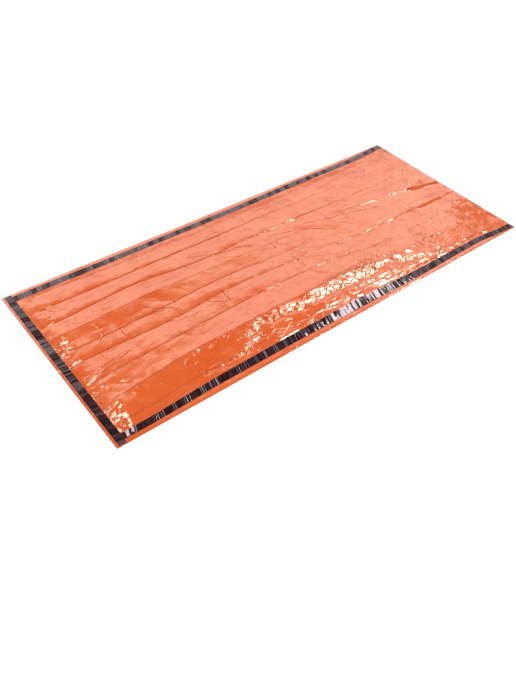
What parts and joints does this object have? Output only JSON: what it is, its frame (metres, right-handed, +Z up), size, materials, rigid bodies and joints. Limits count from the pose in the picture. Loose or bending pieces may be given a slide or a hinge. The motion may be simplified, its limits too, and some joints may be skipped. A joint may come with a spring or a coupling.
{
  "type": "emergency sleeping bag",
  "caption": "Flat rectangular sleeping bag of orange metallised film, taped in black along the foot and both long sides and open at the mouth, lying with its pleats loosely raised.",
  "frame": {"origin": "on the ground, under the middle of the bag", "axes": "+X along the bag from the foot to the open mouth, +Y across it to the far long side, +Z up"},
  "size_m": [2.13, 0.91, 0.0237],
  "materials": {
    "orange_film": "glossy coated film with fine crumples, silvery on the inside",
    "black_tape": "glossy thin adhesive tape, finely wrinkled across"
  },
  "bodies": {
    "root": {"bottom_panel": "orange_film", "top_panel": "orange_film", "foot_tape": "black_tape", "side_tape_far": "black_tape", "side_tape_near": "black_tape"}
  },
  "joints": []
}
